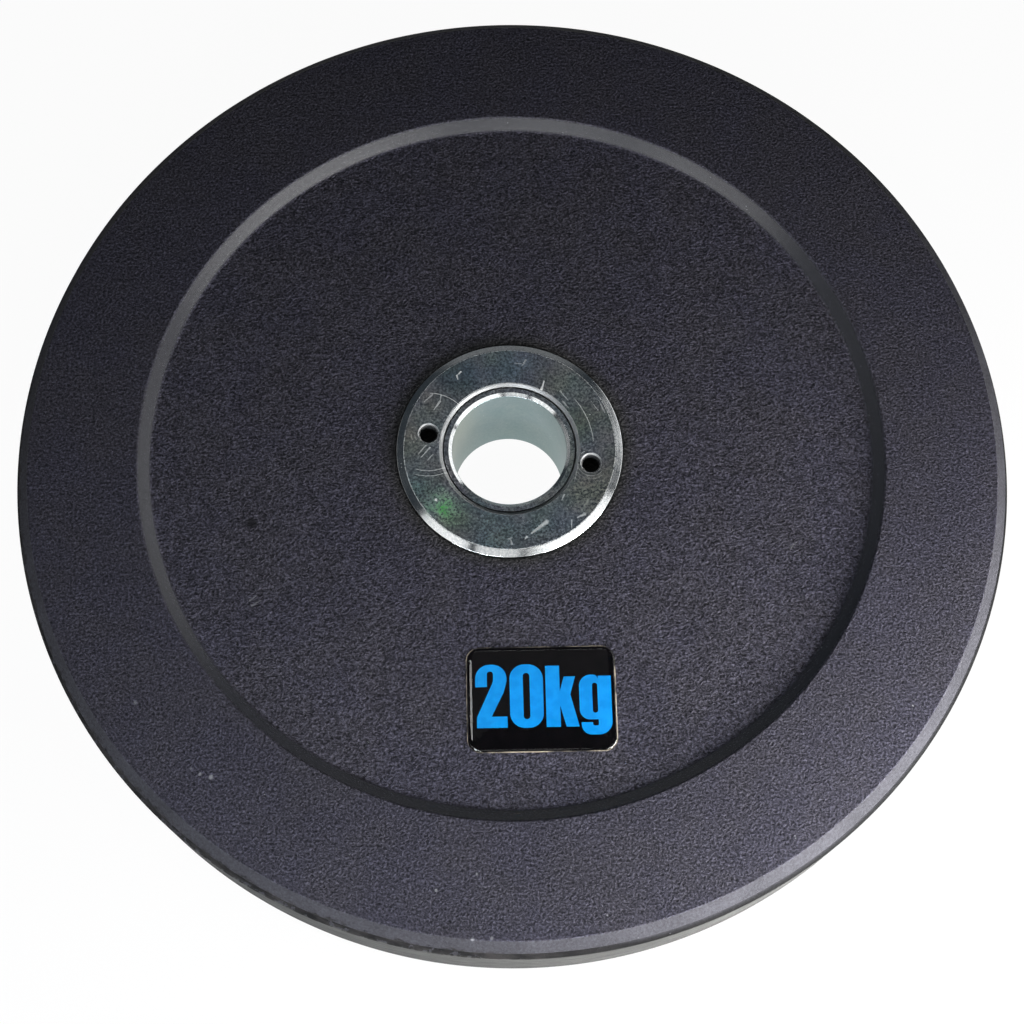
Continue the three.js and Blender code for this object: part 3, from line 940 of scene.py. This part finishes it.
def flat_sheet_tree():
    """Rounds the corners of flat outlines, fills them and gives the sheet its thickness."""
    tree, given, made = new_tree(
        "flat_sheet", "GeometryNodeTree",
        [("Outline", "Geometry"), ("Corner Steps", "Int"), ("Thickness", "Float"), ("Finish", "Material")],
        [("Sheet", "Geometry")])
    under = add_node(tree, "GeometryNodeFillCurve", {"Curve": rounded_outline(tree, given)})
    raised = add_node(tree, "GeometryNodeExtrudeMesh", {
        "Mesh": under.outputs[0], "Offset Scale": given["Thickness"], "Individual": False})
    back = add_node(tree, "GeometryNodeFlipFaces", {"Mesh": under.outputs[0]})
    both = add_node(tree, "GeometryNodeJoinGeometry")
    tree.links.new(raised.outputs[0], both.inputs[0])
    tree.links.new(back.outputs[0], both.inputs[0])
    merged = add_node(tree, "GeometryNodeMergeByDistance", {
        "Geometry": both.outputs[0], "Distance": weld_distance})
    return end_tree(tree, given, made, merged.outputs[0])


sheet_tree = flat_sheet_tree()


def label_sheet(name, loops, level, thickness, finish):
    """A sheet of the label, from outlines of (x, y, corner radius) about the label's middle."""
    piece = outline_object(name, [
        [(Vector((x, y, 0)), corner, 0) for x, y, corner in loop] for loop in loops])
    run_tree(piece, sheet_tree, {
        "Corner Steps": label_corner_steps, "Thickness": thickness, "Finish": finish})
    piece.data.transform(label_place @ Matrix.Translation((0, 0, level)))
    return piece


def label_corners(inset):
    x = label_width / 2 - inset
    y = label_height / 2 - inset
    return [(x, y, label_corner - inset), (-x, y, label_corner - inset),
            (-x, -y, label_corner - inset), (x, -y, label_corner - inset)]


def plain_print(name, low_colour, high_colour, rough, mottle_size, gloss=0.5):
    """Printed or cast plastic with a slight unevenness in its tone and gloss."""
    material, tree, shader, place = new_material(name)
    uneven = noise(tree, place, mottle_size, 3)
    tree.links.new(blend_colour(tree, smooth_step(tree, uneven, 0.36, 0.64), low_colour, high_colour),
                   shader.inputs["Base Color"])
    tree.links.new(calc(tree, "MULTIPLY_ADD", uneven, 0.08, rough), shader.inputs["Roughness"])
    shader.inputs["Specular IOR Level"].default_value = gloss
    return material


vinyl_tones = (0.015, 0.014, 0.013), (0.50, 0.42, 0.31)
black_tones = (0.0010, 0.0008, 0.0010), (0.0022, 0.0016, 0.0020)
blue_tones = (0.003, 0.190, 0.49), (0.005, 0.225, 0.55)
under_resin_gloss = 0.02
vinyl = plain_print("pale_vinyl", *vinyl_tones, 0.35, 9 * MM)
black_ink = plain_print("black_ink", *black_tones, 0.3, 6 * MM, gloss=under_resin_gloss)
blue_ink = plain_print("blue_ink", *blue_tones, 0.3, 5 * MM, gloss=under_resin_gloss)

film_sheet = label_sheet("label_film_sheet", [label_corners(0)], 0, film_thickness, vinyl)
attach(film_sheet, "root")
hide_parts("label_film")

ground_outline = [(x - ground_shift, y + ground_shift / 2, corner)
                  for x, y, corner in label_corners(ground_inset)]
ground_sheet = label_sheet("label_ground", [ground_outline], film_thickness, ink_thickness, black_ink)
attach(ground_sheet, "root")

# The figures are a bold condensed cut, in millimetres from each one's foot: (x, y, corner radius).
two = [[(0.8, 0, 0), (14.0, 0, 0), (14.0, 4.9, 0), (7.2, 4.9, 0), (12.6, 15.6, 9), (13.9, 20.2, 7),
        (13.9, 27.9, 6.2), (0.3, 27.9, 6.2), (0.3, 18.0, 0), (5.4, 18.0, 0), (5.4, 24.9, 1.2),
        (8.1, 24.9, 1.2), (8.1, 20.4, 6), (0.8, 4.6, 3)]]
zero = [[(0, -0.2, 6.4), (14.5, -0.2, 6.4), (14.5, 27.8, 6.4), (0, 27.8, 6.4)],
        [(5.8, 3.6, 1.4), (8.7, 3.6, 1.4), (8.7, 24.0, 1.4), (5.8, 24.0, 1.4)]]
letter_k = [[(0, 0, 0), (6.1, 0, 0), (6.1, 9.4, 0), (8.6, 0, 0), (14.2, 0, 0), (10.6, 14.2, 0.4),
             (12.9, 22.1, 0), (8.0, 22.1, 0), (6.1, 15.6, 0), (6.1, 27.0, 0), (0, 27.0, 0)]]
letter_g = [[(13.8, 22.2, 0), (13.8, -3.6, 5.6), (0.6, -3.6, 4.4), (0.6, 1.8, 0), (5.5, 1.8, 0),
             (5.5, 0.3, 0.8), (8.0, 0.3, 0.8), (8.0, 3.0, 0), (0, 3.0, 4.4), (0, 22.7, 5.0),
             (7.6, 22.7, 1.8), (8.1, 20.9, 0), (8.3, 22.2, 0)],
            [(5.6, 5.9, 1.1), (7.9, 5.9, 1.1), (7.9, 19.1, 1.1), (5.6, 19.1, 1.1)]]
figures_left = -28.9
figures_foot = -12.5
figure_loops = []
for foot, figure in ((0, two), (15.2, zero), (30.8, letter_k), (45.3, letter_g)):
    for loop in figure:
        figure_loops.append([((figures_left + foot + x) * MM, (figures_foot + y) * MM, corner * MM)
                             for x, y, corner in loop])
figures = label_sheet("label_figures", figure_loops, film_thickness + ink_thickness, ink_thickness, blue_ink)
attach(figures, "root")


# Label dome
# Clear resin poured over the print. It wets the film right up to its edge, rises steeply there
# and levels out to a low crown, so the edge throws a thin bright line.

dome_low, dome_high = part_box("label_dome")
dome_inset = 0.15 * MM
dome_roll_width = 5 * MM
dome_crown = 0.3 * MM
dome_crown_inset = 14 * MM
dome_least_corner = 0.6 * MM
dome_sharp_turn = math.radians(60)
resin_ior = 1.56
dome_foot = film_thickness / 2
dome_top = dome_high.z - film_low.z
dome_corner_steps = 16
dome_roll_steps = 14


def dome_ring(inset, level):
    """One closed ring of the dome, a rectangle with round corners."""
    radius = max(label_corner - inset, dome_least_corner)
    corner_x = label_width / 2 - inset - radius
    corner_y = label_height / 2 - inset - radius
    ring = []
    for quarter, (side_x, side_y) in enumerate(((1, 1), (-1, 1), (-1, -1), (1, -1))):
        for i in range(dome_corner_steps + 1):
            angle = (quarter + i / dome_corner_steps) * math.pi / 2
            ring.append((side_x * corner_x + radius * math.cos(angle),
                         side_y * corner_y + radius * math.sin(angle), level))
    return ring


def resin_finish():
    """Clear resin with a faintly rippled surface, which lets the light through to the print."""
    material, tree, shader, place = new_material("clear_resin")
    shader.inputs["Base Color"].default_value = (0.97, 0.98, 0.98, 1)
    shader.inputs["Roughness"].default_value = 0.02
    shader.inputs["IOR"].default_value = resin_ior
    shader.inputs["Transmission Weight"].default_value = 1.0
    ripple = add_node(tree, "ShaderNodeBump", {
        "Strength": 1.0, "Distance": 0.07 * MM, "Height": noise(tree, place, 8 * MM, 2)}).outputs[0]
    tree.links.new(ripple, shader.inputs["Normal"])
    output = next(n for n in tree.nodes if n.type == "OUTPUT_MATERIAL")
    clear = add_node(tree, "ShaderNodeBsdfTransparent")
    lets_light_by = add_node(tree, "ShaderNodeMixShader", {
        0: add_node(tree, "ShaderNodeLightPath").outputs["Is Shadow Ray"],
        1: shader.outputs[0], 2: clear.outputs[0]})
    tree.links.new(lets_light_by.outputs[0], output.inputs[0])
    return material


rings = [dome_ring(dome_inset, dome_foot), dome_ring(dome_inset, film_thickness)]
for i in range(1, dome_roll_steps + 1):
    share = 1 - math.cos(i / dome_roll_steps * math.pi / 2)
    rise = math.sqrt(1 - (1 - share) ** 2)
    rings.append(dome_ring(dome_inset + dome_roll_width * share,
                           film_thickness + (dome_top - film_thickness - dome_crown) * rise))
rings.append(dome_ring(0.5 * (dome_roll_width + dome_crown_inset), dome_top - 0.3 * dome_crown))
rings.append(dome_ring(dome_crown_inset, dome_top))
dome_mesh = bpy.data.meshes.new("label_resin_dome")
count = len(rings[0])
faces = [list(range(count))[::-1], [(len(rings) - 1) * count + i for i in range(count)]]
for row in range(len(rings) - 1):
    for i in range(count):
        after = (i + 1) % count
        faces.append([row * count + i, row * count + after, (row + 1) * count + after, (row + 1) * count + i])
dome_mesh.from_pydata([point for ring in rings for point in ring], [], faces)
dome_mesh.transform(label_place)
dome_mesh.polygons.foreach_set("use_smooth", [True] * len(dome_mesh.polygons))
dome_mesh.materials.append(resin_finish())
dome_mesh.set_sharp_from_angle(angle=dome_sharp_turn)
resin_dome = bpy.data.objects.new("label_resin_dome", dome_mesh)
bpy.context.scene.collection.objects.link(resin_dome)
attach(resin_dome, "root")
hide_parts("label_dome")


# Studio
# A wide pale floor that shows white to the camera and in the metal, and still takes the plate's
# shadow. Soft lamps stand near the plate, and dim cards further off are mirrored in its metal.
# The camera stands where the picture was taken from.

stage_gap = 0.2 * MM
floor_half = 4.0
floor_glow = 0.96
backdrop_rise = 0.03
low_air = (0.010, 0.0130, 0.018)
mirrored_air = (0.026, 0.032, 0.038)

floor_mesh = bpy.data.meshes.new("floor")
floor_mesh.from_pydata([(x * floor_half, y * floor_half, -stage_gap)
                        for x, y in ((-1, -1), (1, -1), (1, 1), (-1, 1))], [], [(0, 1, 2, 3)])
floor = bpy.data.objects.new("floor", floor_mesh)
bpy.context.scene.collection.objects.link(floor)
floor_material = bpy.data.materials.new("pale_floor")
floor_material.use_nodes = True
floor_tree = floor_material.node_tree
floor_tree.nodes.clear()
rays = add_node(floor_tree, "ShaderNodeLightPath").outputs
seen = calc(floor_tree, "MAXIMUM", rays["Is Camera Ray"],
            calc(floor_tree, "MAXIMUM", rays["Is Glossy Ray"], rays["Is Transmission Ray"]))
matt = add_node(floor_tree, "ShaderNodeBsdfDiffuse", {"Color": (0.8, 0.8, 0.8, 1)})
glow = add_node(floor_tree, "ShaderNodeEmission", {"Color": (1, 1, 1, 1), "Strength": 1.0})
shown = add_node(floor_tree, "ShaderNodeMixShader", {
    0: calc(floor_tree, "MULTIPLY", seen, floor_glow), 1: matt.outputs[0], 2: glow.outputs[0]})
add_node(floor_tree, "ShaderNodeOutputMaterial", {0: shown.outputs[0]})
floor_mesh.materials.append(floor_material)

world = bpy.data.worlds.new("studio_air")
bpy.context.scene.world = world
world.use_nodes = True
world_tree = world.node_tree
world_tree.nodes.clear()
world_rays = add_node(world_tree, "ShaderNodeLightPath").outputs
mirrored = calc(world_tree, "MAXIMUM", world_rays["Is Glossy Ray"], world_rays["Is Transmission Ray"])
rise = add_node(world_tree, "ShaderNodeSeparateXYZ", {
    0: add_node(world_tree, "ShaderNodeTexCoord").outputs["Generated"]}).outputs[2]
backdrop = calc(world_tree, "MULTIPLY", mirrored, smooth_step(world_tree, rise, backdrop_rise, 0.0))
air = add_node(world_tree, "ShaderNodeBackground", {
    "Color": blend_colour(world_tree, calc(world_tree, "MAXIMUM", world_rays["Is Camera Ray"], backdrop),
                          blend_colour(world_tree, mirrored, low_air, mirrored_air), (1, 1, 1)),
    "Strength": 1.0})
add_node(world_tree, "ShaderNodeOutputWorld", {0: air.outputs[0]})


def soft_light(name, azimuth, elevation, away, width, height, power, roll=0, lights=True, colour=(1, 1, 1)):
    """A rectangular lamp that faces the middle of the plate. Azimuth 0 is +X and 90 is +Y.

    One that doesn't light is a pale card, which only shows mirrored in the metal.
    """
    lamp = bpy.data.lights.new(name, "AREA")
    lamp.shape = "RECTANGLE"
    lamp.size = width
    lamp.size_y = height
    lamp.energy = power
    lamp.color = colour
    flat = away * math.cos(math.radians(elevation))
    holder = bpy.data.objects.new(name, lamp)
    holder.location = (flat * math.cos(math.radians(azimuth)), flat * math.sin(math.radians(azimuth)),
                       away * math.sin(math.radians(elevation)))
    holder.rotation_euler = (holder.location.to_track_quat("Z", "Y")
                             @ Quaternion((0, 0, 1), math.radians(roll))).to_euler()
    holder.visible_camera = False
    holder.visible_diffuse = lights
    bpy.context.scene.collection.objects.link(holder)


soft_light("key_softbox", 317, 21, 0.46, 0.38, 0.155, 3.5)
soft_light("low_softbox", 314, 8, 0.6, 0.45, 0.15, 3.2)
soft_light("near_fill", 247, 32, 0.62, 0.33, 0.063, 1.9, colour=(0.94, 1.0, 1.07))
soft_light("right_card", 322, 41, 2.0, 2.2, 0.50, 4.7, roll=-14, lights=False)
soft_light("near_card", 261, 46, 2.0, 0.8, 0.50, 0.88, lights=False)
soft_light("left_card", 219, 41, 2.0, 1.0, 0.50, 1.6, roll=15, lights=False)
soft_light("low_left_card", 221, 19, 2.0, 1.0, 0.26, 0.75, lights=False)
soft_light("low_near_card", 262, 21, 2.0, 0.9, 0.20, 0.30, lights=False)
soft_light("far_right_card", 26, 18, 2.0, 2.0, 0.50, 3.7, roll=-21, lights=False)
soft_light("far_left_card", 168, 22, 2.0, 2.0, 0.32, 0.75, roll=20, lights=False)
soft_light("left_strip", 163, 58, 2.0, 0.24, 0.48, 1.8, lights=False)
soft_light("far_strip", 90, 46, 2.0, 1.4, 0.10, 0.57, lights=False)
soft_light("far_card", 90, 12, 2.0, 2.3, 0.20, 0.19, lights=False)
soft_light("ceiling", 90, 66, 2.0, 1.6, 1.2, 0.58)

camera = bpy.data.cameras.new("camera")
camera.lens = 65.39
camera.sensor_width = 36
camera.shift_x = 0.0557
camera.shift_y = -0.0176
camera.clip_start = 0.05
camera.clip_end = 50
camera_holder = bpy.data.objects.new("camera", camera)
camera_holder.location = (-0.00937, -0.29247, 0.85217)
camera_holder.rotation_euler = (math.radians(18.89), math.radians(1.11), 0)
bpy.context.scene.collection.objects.link(camera_holder)
bpy.context.scene.camera = camera_holder
bpy.context.scene.view_settings.view_transform = "Standard"
